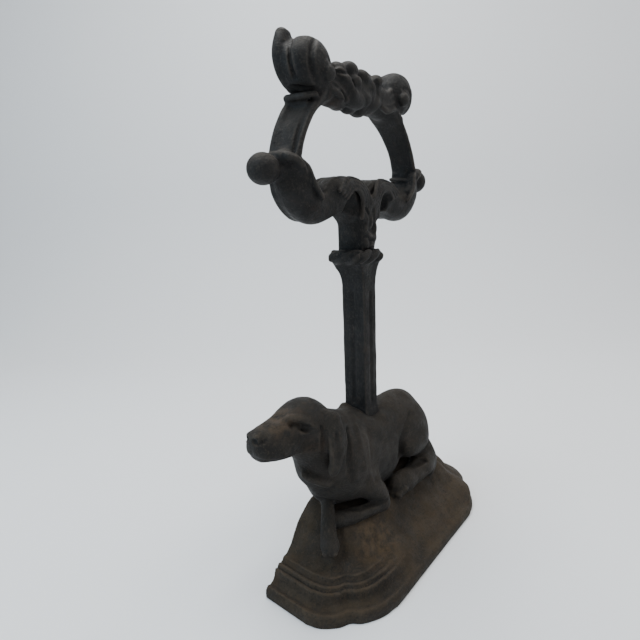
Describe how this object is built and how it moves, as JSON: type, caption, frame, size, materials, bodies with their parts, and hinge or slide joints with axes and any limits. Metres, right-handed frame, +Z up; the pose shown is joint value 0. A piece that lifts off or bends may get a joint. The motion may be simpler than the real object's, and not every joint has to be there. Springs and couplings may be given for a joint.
{
  "type": "door stop",
  "caption": "Cast-iron door porter: a lying hound on a moulded flat-backed plinth, with a tall square column and a scrolled ring handle.",
  "frame": {"origin": "centre of the object's outline in plan, on the ground under the plinth", "axes": "+Z up, +Y towards the flat back, the hound looks along -X"},
  "size_m": [0.241, 0.0796, 0.3792],
  "materials": {
    "plinth": "old brown-black iron with dust and light rust",
    "dog": "old brown-black iron, edges rubbed, rust on the muzzle",
    "column": "old grey-black iron",
    "ring_handle": "old grey-black iron, smoothed by handling",
    "tie_rod": "rust-brown wrought iron",
    "washer": "rust-brown wrought iron",
    "square_nut": "rust-brown wrought iron",
    "fixing_screw_front": "rust-brown wrought iron",
    "fixing_screw_rear": "rust-brown wrought iron"
  },
  "bodies": {
    "root": {"plinth": "plinth", "dog": "dog", "column": "column", "ring_handle": "ring_handle", "tie_rod": "tie_rod", "washer": "washer", "square_nut": "square_nut", "fixing_screw_front": "fixing_screw_front", "fixing_screw_rear": "fixing_screw_rear"}
  },
  "joints": []
}
